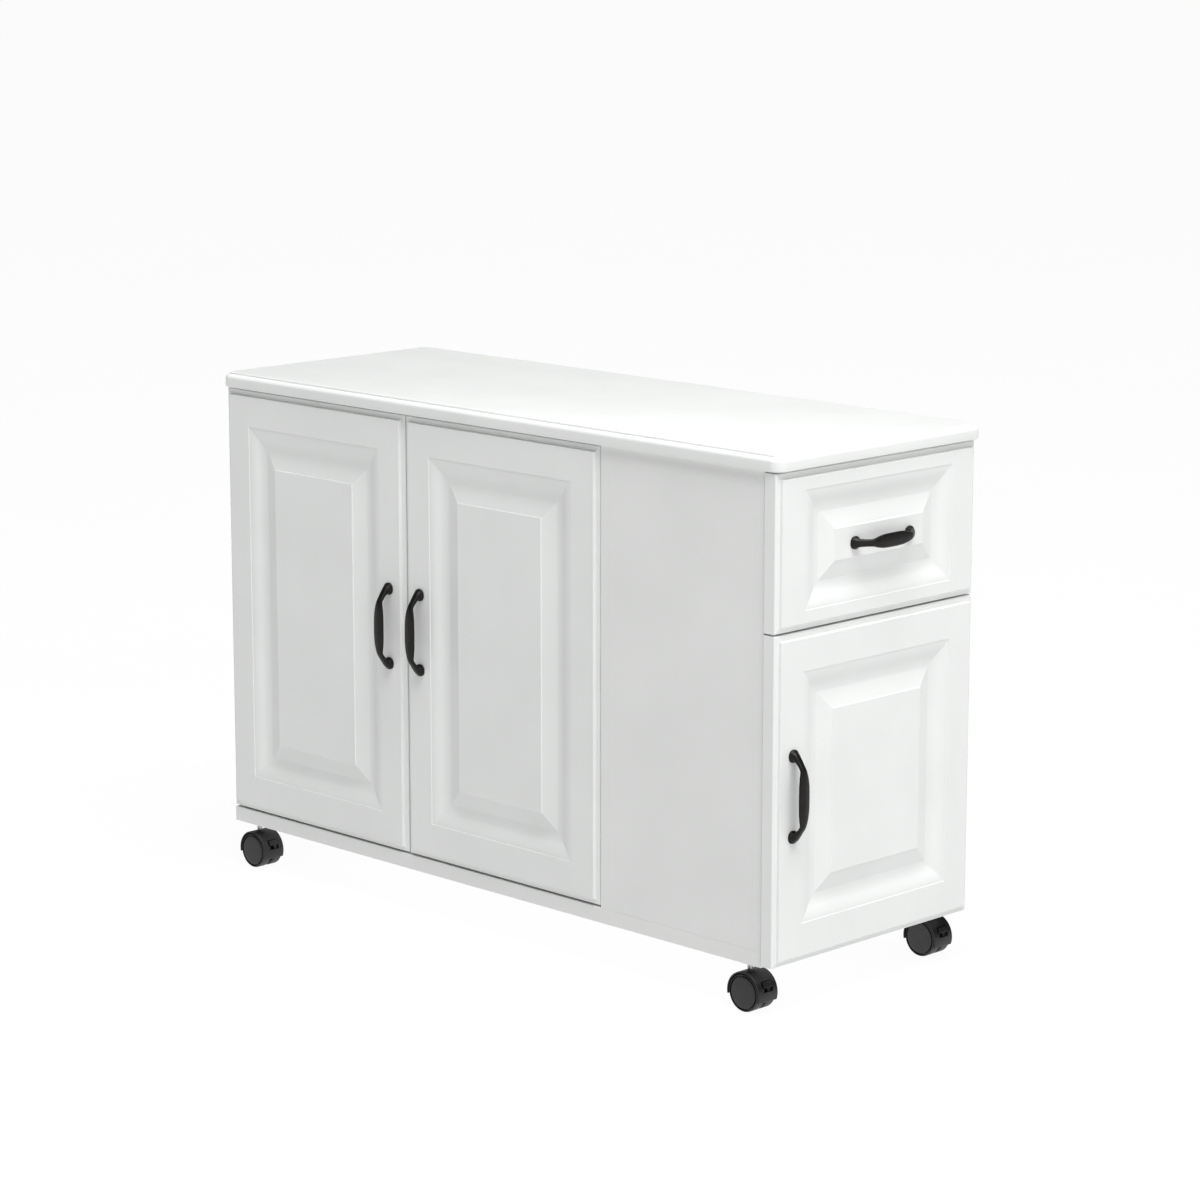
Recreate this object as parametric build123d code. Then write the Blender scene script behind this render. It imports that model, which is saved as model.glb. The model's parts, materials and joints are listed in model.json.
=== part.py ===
from build123d import *
import os

# Rolling sewing cabinet: a long storage cabinet on four braked twin-wheel casters. Two doors on
# the long front, a fixed panel beside them, and a drawer over a door on the right-hand end.
# Working frame while building (millimetres): x from the carcass's left end, y back from the
# plane of the front faces, z up from the floor. Every node is moved to ORIGIN when written.

# ---- driving dimensions -------------------------------------------------------------------
CARCASS_LENGTH = 1100.5
CABINET_DEPTH = 401.5
BOARD = 22.0                # worktop, base and side boards
THIN_BOARD = 16.0           # divider, rails, end post
BACK_BOARD = 12.0
CASTER_HEIGHT = 68.0        # floor to the base board's underside
TOTAL_HEIGHT = 766.0
WORKTOP_OVERHANG = 3.5      # beyond the door faces and the end fronts
LEFT_OVERHANG = 6.0         # beyond the left door's edge
BACK_OVERHANG = 9.5
FRONT_GAP = 2.5             # between fronts, and between a front and the boards behind it
DOOR_THICKNESS = 25.0
DOOR_PROUD = 4.0            # door faces stand this far in front of the base and the fixed panel
LEFT_LAP, END_LAP = 1.0, 3.0    # left door and end fronts reach this far past the carcass
MIDDLE_GAP_X = 398.8        # centre of the gap between the two front doors
DIVIDER_X = 797.5           # divider's left face
DRAWER_GAP_Z = 526.6        # centre of the gap between drawer front and end door
END_DOOR_BOTTOM_Z = 71.5

WHEEL_RADIUS = 26.5
CASTER_INSET = 35.0         # swivel axis in from each end of the base board
CASTER_EDGE_Y = 17.6        # swivel axis in from the front and back edges
CASTER_TRAIL = 4.4          # axle behind the swivel axis

HANDLE_SPACING = 111.0      # screw to screw
HANDLE_PROJECTION = 24.0
LEFT_HANDLE_X, RIGHT_HANDLE_X, FRONT_HANDLE_Z = 365.0, 431.8, 428.5
END_HANDLE_Y, END_HANDLE_Z = 30.5, 304.5
DRAWER_HANDLE_Y, DRAWER_HANDLE_Z = 204.0, 632.5

# ---- derived levels -----------------------------------------------------------------------
BASE_TOP_Z = CASTER_HEIGHT + BOARD
WORKTOP_Z = TOTAL_HEIGHT - BOARD
DOOR_BOTTOM_Z = BASE_TOP_Z + FRONT_GAP
DOOR_TOP_Z = WORKTOP_Z - FRONT_GAP
CARCASS_FRONT_Y = DOOR_THICKNESS - DOOR_PROUD + FRONT_GAP
END_FACE_X = CARCASS_LENGTH + FRONT_GAP + DOOR_THICKNESS
DIVIDER_RIGHT_X = DIVIDER_X + THIN_BOARD
POST_X = CARCASS_LENGTH - THIN_BOARD
REAR_PANEL_Y = CABINET_DEPTH - BOARD
BACK_PANEL_Y = CABINET_DEPTH - BACK_BOARD
RAIL_TOP_Z = DRAWER_GAP_Z + 2.0

# The fronts: (low corner, high corner) along their width, then bottom and top.
LEFT_DOOR = (-LEFT_LAP, MIDDLE_GAP_X - FRONT_GAP / 2, DOOR_BOTTOM_Z, DOOR_TOP_Z)
RIGHT_DOOR = (MIDDLE_GAP_X + FRONT_GAP / 2, DIVIDER_X - FRONT_GAP, DOOR_BOTTOM_Z, DOOR_TOP_Z)
END_DOOR = (-END_LAP, CABINET_DEPTH, END_DOOR_BOTTOM_Z, DRAWER_GAP_Z - FRONT_GAP / 2)
DRAWER_FRONT = (-END_LAP, CABINET_DEPTH, DRAWER_GAP_Z + FRONT_GAP / 2, DOOR_TOP_Z)

# The worktop's edges, then the object's box centre with the handles standing proud.
TOP_LOW_X, TOP_HIGH_X = LEFT_DOOR[0] - LEFT_OVERHANG, END_FACE_X + WORKTOP_OVERHANG
TOP_LOW_Y, TOP_HIGH_Y = -DOOR_PROUD - WORKTOP_OVERHANG, CABINET_DEPTH + BACK_OVERHANG
ORIGIN = (
    (TOP_LOW_X + END_FACE_X + HANDLE_PROJECTION) / 2,
    (TOP_HIGH_Y - DOOR_PROUD - HANDLE_PROJECTION) / 2,
    0.0,
)

os.makedirs("parts", exist_ok=True)


def write(name, shapes):
    """Write one node, a single shape or a list of separate solids, in the object's own frame."""
    solids = shapes if isinstance(shapes, list) else [shapes]
    loose = [solid for shape in solids for solid in shape.solids()]
    moved = Compound(children=loose).moved(Location((-ORIGIN[0], -ORIGIN[1], -ORIGIN[2])))
    export_step(moved, f"parts/{name}.step")


def block(x0, x1, y0, y1, z0, z1):
    """An axis-aligned board between two corners."""
    return Pos((x0 + x1) / 2, (y0 + y1) / 2, (z0 + z1) / 2) * Box(x1 - x0, y1 - y0, z1 - z0)


def rod(radius, start, end):
    """A round bar from one point to another."""
    plane = Plane(origin=start, z_dir=Vector(*end) - Vector(*start))
    return extrude(plane * Circle(radius), (Vector(*end) - Vector(*start)).length)


def soften(shape, axis, radius=0.8):
    """Ease the edges of a board that run along one axis."""
    return fillet(shape.edges().filter_by(axis), radius)


# ---- raised-panel fronts --------------------------------------------------------------------
LEDGE_WIDTH, LEDGE_DEPTH, LEDGE_ROUND = 8.5, 5.0, 2.0   # stepped ledge round a front's outer edge
QUIRK = 0.9                                 # small square step beside the frame
WALL_MIDDLE, WALL_END = 17.0, 32.0          # long S-shaped fall from the frame to the groove
GROOVE_END, GROOVE_DEPTH = 34.0, 8.4
BEVEL_END = 60.0                            # flat slope back up to the raised field
STILE = 53.0
DRAWER_RAIL_WIDTH = 26.0


def mitred_ring(profile, width, height):
    """A cutter that follows a rectangle's four sides. The profile's x is the distance in from
    the rectangle and its y the depth below the front face, which lies at y = 0."""
    reach = BEVEL_END
    ring = []
    for turn in range(4):
        length, half = (width, height / 2) if turn % 2 == 0 else (height, width / 2)
        out = 2.0
        start = Plane(origin=(length / 2 + out, 0, -half), x_dir=(0, 0, 1), z_dir=(-1, 0, 0))
        side = extrude(start * profile, length + 2 * out)
        corners = [
            (-length / 2 - out, -half - out),
            (length / 2 + out, -half - out),
            (length / 2 - reach, -half + reach),
            (-length / 2 + reach, -half + reach),
        ]
        wedge = make_face(Polyline(*corners, close=True))
        prism = extrude(Plane.XZ.offset(-2 * GROOVE_DEPTH) * wedge, 3 * GROOVE_DEPTH)
        ring.append((side & prism).rotate(Axis.Y, 90 * turn))
    return ring


def edge_profile():
    """The rounded corner, narrow ledge and steep riser along a front's outer edge."""
    low = LEDGE_DEPTH + LEDGE_ROUND
    corner = ThreePointArc(
        (0, low), (LEDGE_ROUND * 0.3, LEDGE_DEPTH + LEDGE_ROUND * 0.3), (LEDGE_ROUND, LEDGE_DEPTH)
    )
    rest = Polyline(
        (LEDGE_ROUND, LEDGE_DEPTH),
        (LEDGE_WIDTH - 1.0, LEDGE_DEPTH - 0.5),
        (LEDGE_WIDTH, 0.7),
        (LEDGE_WIDTH + 0.7, 0),
        (LEDGE_WIDTH + 0.7, -1),
        (-1, -1),
        (-1, low),
        (0, low),
    )
    return make_face(corner + rest)


def panel_profile():
    """Quirk, S-shaped fall, narrow groove and bevel between the frame and the raised field."""
    lead = Polyline((0, -1), (0, QUIRK), (1.0, QUIRK))
    swell = ThreePointArc((1.0, QUIRK), (9.0, QUIRK + 1.2), (WALL_MIDDLE, QUIRK + 4.0))
    hollow = ThreePointArc(
        (WALL_MIDDLE, QUIRK + 4.0), (24.5, GROOVE_DEPTH - 0.9), (WALL_END, GROOVE_DEPTH)
    )
    rest = Polyline(
        (WALL_END, GROOVE_DEPTH),
        (GROOVE_END, GROOVE_DEPTH),
        (BEVEL_END - 1.2, 1.2),
        (BEVEL_END, 0),
        (BEVEL_END, -1),
        (0, -1),
    )
    return make_face(lead + swell + hollow + rest)


def raised_front(width, height, rail):
    """A raised-panel front, centred on x and z, facing -y with its face at y = 0."""
    front = Pos(0, DOOR_THICKNESS / 2, 0) * Box(width, DOOR_THICKNESS, height)
    for cutter in mitred_ring(edge_profile(), width, height):
        front -= cutter
    for cutter in mitred_ring(panel_profile(), width - 2 * STILE, height - 2 * rail):
        front -= cutter
    return front


def on_front(extent):
    """Where a shape centred on x and z stands for a door on the long front."""
    x0, x1, z0, z1 = extent
    return Location(((x0 + x1) / 2, -DOOR_PROUD, (z0 + z1) / 2))


def on_end(extent):
    """Where a shape centred on x and z stands for a front on the right-hand end."""
    y0, y1, z0, z1 = extent
    return Location((END_FACE_X, (y0 + y1) / 2, (z0 + z1) / 2), (0, 0, 90))


# ---- handles ---------------------------------------------------------------------------------
SCREW_RADIUS = 2.0
SCREW_IN_HANDLE = 5.5

# Half of the handle, foot to middle: place along the handle, height of the centre line above
# the face, slope of the centre line in degrees, half width and half thickness.
HANDLE_STATIONS = [
    (HANDLE_SPACING / 2, 0.0, 90.0, 8.8, 8.8),
    (HANDLE_SPACING / 2, 2.2, 90.0, 8.8, 8.8),
    (55.4, 3.2, 92.0, 8.1, 8.0),
    (55.1, 4.4, 98.0, 7.0, 6.6),
    (54.2, 6.2, 112.0, 6.1, 5.2),
    (52.4, 8.2, 126.0, 5.5, 4.2),
    (49.6, 10.7, 136.0, 5.2, 3.5),
    (46.4, 13.4, 139.5, 5.0, 3.1),
    (43.0, 16.2, 143.0, 5.0, 2.9),
    (39.6, 18.4, 154.0, 5.2, 2.8),
    (36.0, 19.6, 167.5, 6.0, 2.8),
    (29.0, 20.4, 175.0, 7.8, 2.8),
    (20.0, 20.9, 177.5, 9.2, 2.8),
    (10.0, 21.15, 178.8, 9.7, 2.8),
    (0.0, HANDLE_PROJECTION - 2.8, 180.0, 9.8, 2.8),
]


def bow_handle():
    """A cast bow handle along z, on the face y = 0 and standing out towards -y."""
    sections = []
    for along, out, slope, half_width, half_thick in HANDLE_STATIONS:
        direction = Vector(0, 0, 1).rotate(Axis.X, slope)
        plane = Plane(origin=(0, -out, along), x_dir=(1, 0, 0), z_dir=direction)
        corner = 0.9 * min(half_width, half_thick)
        sections.append(plane * RectangleRounded(2 * half_width, 2 * half_thick, corner))
    half = loft(sections)
    handle = half + half.mirror(Plane.XY)
    for end in (-1, 1):
        z = end * HANDLE_SPACING / 2
        handle -= rod(SCREW_RADIUS + 0.05, (0, 1, z), (0, -SCREW_IN_HANDLE - 0.3, z))
    return handle


def handle_screws():
    """Two machine screws from the back of a front into the handle's feet."""
    screws = []
    for end in (-1, 1):
        z = end * HANDLE_SPACING / 2
        shank = rod(SCREW_RADIUS, (0, DOOR_THICKNESS, z), (0, -SCREW_IN_HANDLE, z))
        head = rod(4.0, (0, DOOR_THICKNESS, z), (0, DOOR_THICKNESS + 2.0, z))
        slot = Pos(0, DOOR_THICKNESS + 1.6, z) * Box(5.0, 1.0, 1.0)
        screws.append(shank + head - slot)
    return screws


def handle_holes():
    """Clearance holes for one handle's screws."""
    holes = []
    for end in (-1, 1):
        z = end * HANDLE_SPACING / 2
        holes.append(rod(SCREW_RADIUS + 0.2, (0, -1, z), (0, DOOR_THICKNESS + 1, z)))
    return holes


def add_handle(prefix, place):
    """Write one handle and its screws at a place, and return the holes its front needs."""
    write(f"{prefix}_handle", place * bow_handle())
    write(f"{prefix}_handle_screws", [place * screw for screw in handle_screws()])
    return [place * hole for hole in handle_holes()]


# ---- concealed hinges --------------------------------------------------------------------------
# Each is drawn at its door's hinged edge: x in from that edge, y back from the door's face.
CUP_RADIUS, CUP_DEPTH, CUP_SETBACK = 17.5, 12.0, 22.5
ARM_HALF_HEIGHT = 6.0
ARM_FRONT_Y, ARM_BACK_Y = 31.0, 99.0


def hinge_cup():
    """The pressed cup with its screw wings and the folded link inside it."""
    back = DOOR_THICKNESS
    cup = rod(CUP_RADIUS - 0.05, (CUP_SETBACK, back - CUP_DEPTH, 0), (CUP_SETBACK, back, 0))
    cup -= rod(CUP_RADIUS - 1.3, (CUP_SETBACK, back - CUP_DEPTH + 1.2, 0), (CUP_SETBACK, back + 1, 0))
    wings = Pos(CUP_SETBACK, back + 0.5, 0) * Box(15, 1.0, 62)
    rim = rod(CUP_RADIUS + 1.2, (CUP_SETBACK, back, 0), (CUP_SETBACK, back + 1.0, 0))
    mouth = rod(CUP_RADIUS - 1.3, (CUP_SETBACK, back - 0.5, 0), (CUP_SETBACK, back + 1.5, 0))
    link = block(26.5, 33.0, back - CUP_DEPTH + 1.0, back + 3.0, -4.0, 4.0)
    return cup + (wings + rim - mouth) + link


def hinge_cup_hole():
    """The blind hole that a hinge cup sits in."""
    low = DOOR_THICKNESS - CUP_DEPTH
    return rod(CUP_RADIUS, (CUP_SETBACK, low, 0), (CUP_SETBACK, DOOR_THICKNESS + 1, 0))


def hinge_arm(board_x):
    """The arm and its mounting plate, screwed to a board whose face is at board_x."""
    plate = block(board_x, board_x + 3.0, 51.0, 89.0, -24.0, 24.0)
    outline = Polyline(
        (board_x + 3.0, ARM_BACK_Y),
        (board_x + 3.0, 53.0),
        (max(board_x + 1.5, 23.5), 39.0),
        (max(board_x + 1.5, 24.5), ARM_FRONT_Y),
        (34.0, ARM_FRONT_Y),
        (35.0, 40.0),
        (board_x + 13.0, 57.0),
        (board_x + 13.0, ARM_BACK_Y),
        close=True,
    )
    arm = extrude(Plane.XY.offset(-ARM_HALF_HEIGHT) * make_face(outline), 2 * ARM_HALF_HEIGHT)
    adjuster = rod(3.5, (board_x + 13.0, 65.0, 0), (board_x + 14.5, 65.0, 0))
    clamp = rod(3.5, (board_x + 13.0, 87.0, 0), (board_x + 14.5, 87.0, 0))
    return plate + arm + adjuster + clamp


def hinge_heights(extent):
    """Two hinges to a door, the same distance in from its bottom and top."""
    return [extent[2] + 100.0, extent[3] - 100.0]


def mirrored_x(shape):
    """The same shape for a hinge on the other hand."""
    return shape.mirror(Plane.YZ)


def place_left(shape, z):
    """Put a hinge piece on the left door's hinged edge."""
    return Pos(LEFT_DOOR[0], -DOOR_PROUD, z) * shape


def place_right(shape, z):
    """Put a hinge piece on the right door's hinged edge, which is its right-hand one."""
    return Pos(RIGHT_DOOR[1], -DOOR_PROUD, z) * mirrored_x(shape)


def place_end(shape, z):
    """Put a hinge piece on the end door's hinged edge, which is its rear one."""
    return Location((END_FACE_X, END_DOOR[1], z), (0, 0, 90)) * mirrored_x(shape)


# ---- the cabinet --------------------------------------------------------------------------------
EDGE_INSET, EDGE_STEP, EDGE_ROUND, CORNER_RADIUS = 7.0, 3.0, 6.5, 18.0
SHELF_Z = 420.0
PIN_RADIUS, PIN_LENGTH = 2.5, 16.0
BASE_SCREW_RADIUS, BASE_SCREW_LENGTH = 2.5, 50.0
RAIL_DEPTH = 80.0


def worktop():
    """One board: flat top, a small step, then a rounded nose all the way round."""
    length = TOP_HIGH_X - TOP_LOW_X
    depth = TOP_HIGH_Y - TOP_LOW_Y
    plan = RectangleRounded(length, depth, CORNER_RADIUS)
    slab = extrude(plan, BOARD - EDGE_STEP)
    slab = fillet(slab.faces().sort_by(Axis.Z)[-1].edges(), EDGE_ROUND)
    slab = fillet(slab.faces().sort_by(Axis.Z)[0].edges(), 2.0)
    inner = RectangleRounded(length - 2 * EDGE_INSET, depth - 2 * EDGE_INSET, CORNER_RADIUS - EDGE_INSET)
    field = extrude(Pos(0, 0, BOARD - EDGE_STEP) * inner, EDGE_STEP)
    field = fillet(field.faces().sort_by(Axis.Z)[-1].edges(), 0.8)
    middle = Pos((TOP_LOW_X + TOP_HIGH_X) / 2, (TOP_LOW_Y + TOP_HIGH_Y) / 2, WORKTOP_Z)
    return middle * (slab + field)


def base_screw_places():
    """Screws up through the base board into the upright boards."""
    depths = (70.0, CABINET_DEPTH / 2, CABINET_DEPTH - 60.0)
    places = [(BOARD / 2, y) for y in depths]
    places += [(DIVIDER_X + THIN_BOARD / 2, y) for y in depths]
    places += [(x, CABINET_DEPTH - BOARD / 2) for x in (900.0, 1020.0)]
    places += [(x, BOARD / 2) for x in (900.0, 1020.0)]
    places += [(x, CABINET_DEPTH - BACK_BOARD / 2) for x in (220.0, 600.0)]
    return places


def base_screw(x, y):
    """A flat-headed assembly screw, its head flush with the base board's underside."""
    head = rod(4.5, (x, y, CASTER_HEIGHT), (x, y, CASTER_HEIGHT + 3.0))
    shank = rod(BASE_SCREW_RADIUS, (x, y, CASTER_HEIGHT + 3.0), (x, y, CASTER_HEIGHT + BASE_SCREW_LENGTH))
    socket = Pos(x, y, CASTER_HEIGHT) * extrude(RegularPolygon(2.0, 6), 2.0)
    return head + shank - socket


def base_screw_hole(x, y):
    """The stepped hole that one assembly screw fills."""
    head = rod(4.5, (x, y, CASTER_HEIGHT - 1), (x, y, CASTER_HEIGHT + 3.0))
    return head + rod(BASE_SCREW_RADIUS, (x, y, CASTER_HEIGHT), (x, y, CASTER_HEIGHT + BASE_SCREW_LENGTH))


def pin_places():
    """Shelf pins: two in the left side panel and two in the divider."""
    return [(x, y) for x in (BOARD, DIVIDER_X) for y in (90.0, 330.0)]


def shelf_pin(x, y):
    """A plain steel pin half in its board and half under the shelf."""
    z = SHELF_Z - PIN_RADIUS
    return rod(PIN_RADIUS, (x - PIN_LENGTH / 2, y, z), (x + PIN_LENGTH / 2, y, z))


def top_bracket(x, y, turn):
    """A pressed steel angle that ties an upright board to the worktop's underside."""
    flat = block(0, 24.0, -12.0, 12.0, -1.5, 0)
    upright = block(0, 1.5, -12.0, 12.0, -24.0, 0)
    screw = rod(3.2, (13.0, 0, -3.2), (13.0, 0, -1.5)) + rod(3.2, (1.5, 0, -14.0), (3.2, 0, -14.0))
    return Location((x, y, WORKTOP_Z), (0, 0, turn)) * (flat + upright + screw)


def cabinet_boards():
    """The carcass boards, by node name."""
    boards = {
        "base_board": block(0, CARCASS_LENGTH, 0, CABINET_DEPTH, CASTER_HEIGHT, BASE_TOP_Z),
        "left_side_panel": block(0, BOARD, CARCASS_FRONT_Y, CABINET_DEPTH, BASE_TOP_Z, WORKTOP_Z),
        "divider_panel": block(DIVIDER_X, DIVIDER_RIGHT_X, 0, CABINET_DEPTH, BASE_TOP_Z, WORKTOP_Z),
        "front_fixed_panel": block(DIVIDER_RIGHT_X, POST_X, 0, BOARD, BASE_TOP_Z, WORKTOP_Z),
        "end_post": block(POST_X, CARCASS_LENGTH, 0, BOARD, BASE_TOP_Z, WORKTOP_Z),
        "rear_side_panel": block(
            DIVIDER_RIGHT_X, CARCASS_LENGTH, REAR_PANEL_Y, CABINET_DEPTH, BASE_TOP_Z, WORKTOP_Z
        ),
        "back_panel": block(BOARD, DIVIDER_X, BACK_PANEL_Y, CABINET_DEPTH, BASE_TOP_Z, WORKTOP_Z),
        "drawer_rail": block(
            DIVIDER_RIGHT_X, CARCASS_LENGTH, BOARD, REAR_PANEL_Y, RAIL_TOP_Z - THIN_BOARD, RAIL_TOP_Z
        ),
        "top_rail": block(
            BOARD, DIVIDER_X, CARCASS_FRONT_Y, CARCASS_FRONT_Y + RAIL_DEPTH, WORKTOP_Z - BOARD, WORKTOP_Z
        ),
        "machine_shelf": block(
            BOARD + 1, DIVIDER_X - 1, CARCASS_FRONT_Y + 12, BACK_PANEL_Y - 1, SHELF_Z, SHELF_Z + THIN_BOARD
        ),
    }
    eased = {
        "base_board": Axis.X,
        "front_fixed_panel": Axis.Z,
        "end_post": Axis.Z,
        "divider_panel": Axis.Z,
        "machine_shelf": Axis.X,
    }
    for name, axis in eased.items():
        boards[name] = soften(boards[name], axis, 0.6)
    for name in ("left_side_panel", "divider_panel"):
        for x, y in pin_places():
            boards[name] -= shelf_pin(x, y)
    for name in boards:
        if name not in ("drawer_rail", "top_rail", "machine_shelf"):
            for x, y in base_screw_places():
                boards[name] -= base_screw_hole(x, y)
    for x, y in caster_places().values():
        boards["base_board"] -= sleeve_hole(x, y)
    return boards


def bumpers():
    """Soft discs that the doors and the drawer front close against."""
    z = WORKTOP_Z - BOARD / 2
    front = [(x, z) for x in (120.0, MIDDLE_GAP_X - 30.0, MIDDLE_GAP_X + 30.0, 680.0)]
    end = [(11.0, 120.0), (11.0, 500.0), (11.0, 560.0), (387.0, 560.0), (11.0, 715.0), (387.0, 715.0)]
    thick = FRONT_GAP - 0.2
    discs = [rod(4.0, (x, CARCASS_FRONT_Y, z), (x, CARCASS_FRONT_Y - thick, z)) for x, z in front]
    discs += [rod(4.0, (CARCASS_LENGTH, y, z), (CARCASS_LENGTH + thick, y, z)) for y, z in end]
    return discs


# ---- casters ---------------------------------------------------------------------------------------
# Drawn with the swivel axis on z and the floor at z = 0. The axle lies along y.
STEM_RADIUS, STEM_BOTTOM_Z, STEM_TOP_Z = 4.0, 54.5, 83.5
SLEEVE_RADIUS, SLEEVE_TOP_Z = 6.0, 84.0
FLANGE_RADIUS, FLANGE_THICKNESS = 11.0, 2.2
COLLAR_RADIUS, COLLAR_TOP_Z = 10.0, 65.5
WEB_HALF_WIDTH, BOSS_HALF_WIDTH = 2.1, 6.7
WHEEL_INNER_Y, WHEEL_OUTER_Y = 2.6, 18.8
POCKET_RADIUS, POCKET_DEPTH = 20.0, 4.6
AXLE_RADIUS, HUB_RADIUS = 3.5, 10.0
RUNNING_SLACK = 0.06
HOOD_INNER, HOOD_OUTER = WHEEL_RADIUS + 1.0, WHEEL_RADIUS + 3.2
HOOD_FROM, HOOD_TO = -21.0, 192.0       # degrees round the axle from +x, over the top
SLOT_FROM, SLOT_TO, SLOT_HALF_WIDTH = 8.0, 38.0, 9.2
LEVER_FROM, LEVER_TO, LEVER_HALF_WIDTH, LEVER_LIFT = 19.5, 35.5, 7.8, 1.8
LEVER_SLACK = 0.3


def caster_places():
    """Swivel axes of the four casters, by corner."""
    left, right = CASTER_INSET, CARCASS_LENGTH - CASTER_INSET
    front, rear = CASTER_EDGE_Y, CABINET_DEPTH - CASTER_EDGE_Y
    return {
        "front_left": (left, front),
        "front_right": (right, front),
        "rear_left": (left, rear),
        "rear_right": (right, rear),
    }


def sleeve(x, y):
    """The flanged socket pressed up into the base board, which the caster's stem turns in."""
    flange = rod(FLANGE_RADIUS, (x, y, CASTER_HEIGHT - FLANGE_THICKNESS), (x, y, CASTER_HEIGHT))
    body = rod(SLEEVE_RADIUS, (x, y, CASTER_HEIGHT - FLANGE_THICKNESS), (x, y, SLEEVE_TOP_Z))
    bore = rod(STEM_RADIUS + RUNNING_SLACK, (x, y, CASTER_HEIGHT - 5.0), (x, y, SLEEVE_TOP_Z + 1))
    return flange + body - bore


def sleeve_hole(x, y):
    """The hole that one socket is pressed into."""
    return rod(SLEEVE_RADIUS, (x, y, CASTER_HEIGHT - 1), (x, y, SLEEVE_TOP_Z))


def axle_disc(radius, half_width):
    """A disc centred on the axle."""
    low = (CASTER_TRAIL, -half_width, WHEEL_RADIUS)
    return rod(radius, low, (CASTER_TRAIL, half_width, WHEEL_RADIUS))


def axle_sector(inner, outer, start, end, half_width):
    """Part of a ring round the axle, between two angles measured up from +x."""
    middle = (start + end) / 2
    rays = [(0, 0)]
    for angle in (start, middle - (end - start) / 6, middle + (end - start) / 6, end):
        ray = Vector(2 * outer, 0, 0).rotate(Axis.Z, angle)
        rays.append((ray.X, ray.Y))
    ring = Circle(outer) - Circle(inner) if inner > 0 else Circle(outer)
    part = ring & make_face(Polyline(*rays, close=True))
    plane = Plane(origin=(CASTER_TRAIL, half_width, WHEEL_RADIUS), x_dir=(1, 0, 0), z_dir=(0, -1, 0))
    return extrude(plane * part, 2 * half_width)


def caster_hood():
    """The swivelling body: a web between the wheels under a hood that wraps over them both."""
    bounds = block(-40.0, CASTER_TRAIL + 6.0, -WEB_HALF_WIDTH, WEB_HALF_WIDTH, 12.0, 80.0)
    web = axle_disc(HOOD_INNER + 0.5, WEB_HALF_WIDTH) & bounds
    hub = axle_disc(HUB_RADIUS, BOSS_HALF_WIDTH)
    hood = axle_sector(HOOD_INNER, HOOD_OUTER, HOOD_FROM, HOOD_TO, WHEEL_OUTER_Y)
    hood -= axle_sector(HOOD_INNER - 2, HOOD_OUTER + 2, SLOT_FROM, SLOT_TO, SLOT_HALF_WIDTH)
    collar = rod(COLLAR_RADIUS, (0, 0, WHEEL_RADIUS + HOOD_INNER + 0.3), (0, 0, COLLAR_TOP_Z))
    body = web + hub + hood + collar
    body -= rod(STEM_RADIUS, (0, 0, STEM_BOTTOM_Z), (0, 0, COLLAR_TOP_Z + 1))
    return body - axle_disc(AXLE_RADIUS, BOSS_HALF_WIDTH + 1)


def caster_pins():
    """The plain steel axle, and the stem that stands up out of the collar."""
    stem = rod(STEM_RADIUS, (0, 0, STEM_BOTTOM_Z), (0, 0, STEM_TOP_Z))
    return [axle_disc(AXLE_RADIUS, WHEEL_OUTER_Y - 2.5), stem]


def caster_wheel(side):
    """One wheel: a rounded tread, and a dished disc face with a ring groove near its rim."""
    width = WHEEL_OUTER_Y - WHEEL_INNER_Y
    groove = WHEEL_RADIUS - 2.6
    outline = (
        Polyline((0, 0), (WHEEL_RADIUS - 2, 0))
        + ThreePointArc((WHEEL_RADIUS - 2, 0), (WHEEL_RADIUS - 0.6, 0.6), (WHEEL_RADIUS, 2))
        + Polyline((WHEEL_RADIUS, 2), (WHEEL_RADIUS, width - 2.4))
        + ThreePointArc(
            (WHEEL_RADIUS, width - 2.4), (WHEEL_RADIUS - 0.6, width - 1.0), (WHEEL_RADIUS - 2, width - 0.4)
        )
        + Polyline(
            (WHEEL_RADIUS - 2, width - 0.4),
            (groove, width - 0.4),
            (groove, width - 1.6),
            (groove - 1.2, width - 1.6),
            (groove - 1.2, width - 0.5),
            (groove - 5.0, width),
            (0, width),
            (0, 0),
        )
    )
    plane = Plane(origin=(0, 0, 0), x_dir=(1, 0, 0), z_dir=(0, 0, 1))
    wheel = revolve(plane * make_face(outline), Axis.Y)
    wheel -= rod(POCKET_RADIUS, (0, -1, 0), (0, POCKET_DEPTH, 0))
    wheel -= rod(AXLE_RADIUS + RUNNING_SLACK, (0, -1, 0), (0, width - 2.3, 0))
    if side < 0:
        wheel = wheel.mirror(Plane.XZ)
    return Pos(CASTER_TRAIL, side * WHEEL_INNER_Y, WHEEL_RADIUS) * wheel


def brake_lever():
    """A foot tab standing in the hood's slot, on a tongue that reaches in to the hub."""
    tab = axle_sector(HOOD_INNER, HOOD_OUTER + LEVER_LIFT, LEVER_FROM, LEVER_TO, LEVER_HALF_WIDTH)
    inner = HUB_RADIUS + LEVER_SLACK
    half = WEB_HALF_WIDTH - LEVER_SLACK
    return tab + axle_sector(inner, HOOD_INNER + 0.5, LEVER_FROM + 1.5, LEVER_TO - 1.5, half)


def write_casters():
    """The fixed sockets, then each caster's moving pieces."""
    places = caster_places()
    write("caster_sleeves", [sleeve(x, y) for x, y in places.values()])
    for corner, (x, y) in places.items():
        here = Pos(x, y, 0)
        write(f"{corner}_caster_hood", here * caster_hood())
        write(f"{corner}_caster_pins", [here * pin for pin in caster_pins()])
        write(f"{corner}_caster_brake", here * brake_lever())
        write(f"{corner}_caster_wheel_front", here * caster_wheel(-1))
        write(f"{corner}_caster_wheel_back", here * caster_wheel(1))


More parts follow.
